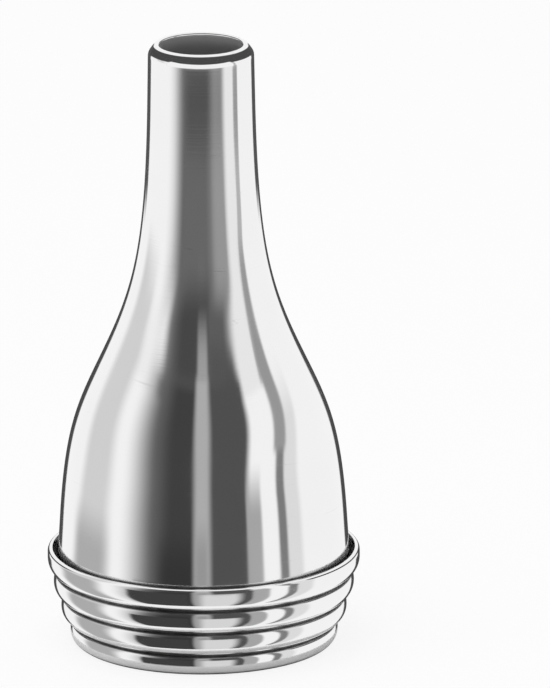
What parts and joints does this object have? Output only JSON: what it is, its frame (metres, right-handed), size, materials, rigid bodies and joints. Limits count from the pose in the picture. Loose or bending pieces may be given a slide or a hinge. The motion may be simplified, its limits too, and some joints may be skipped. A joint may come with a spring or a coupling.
{
  "type": "ear speculum",
  "caption": "Hand-held metal ear funnel: a slim round-edged tip that opens through an ogee curve into a wide bell, standing in a ribbed grip collar.",
  "frame": {"origin": "middle of the collar's flat base, on the axis of the funnel", "axes": "+Z along the funnel's axis, from the wide end up to the tip; the part is round, so X and Y are free"},
  "size_m": [0.0188, 0.0188, 0.0372],
  "materials": {
    "plated_shell": "mirror polished plate",
    "plated_collar": "turned and polished plate",
    "solder": "dull soft solder"
  },
  "bodies": {
    "root": {"funnel_shell": "plated_shell", "grip_collar": "plated_collar", "solder_seam": "solder"}
  },
  "joints": []
}
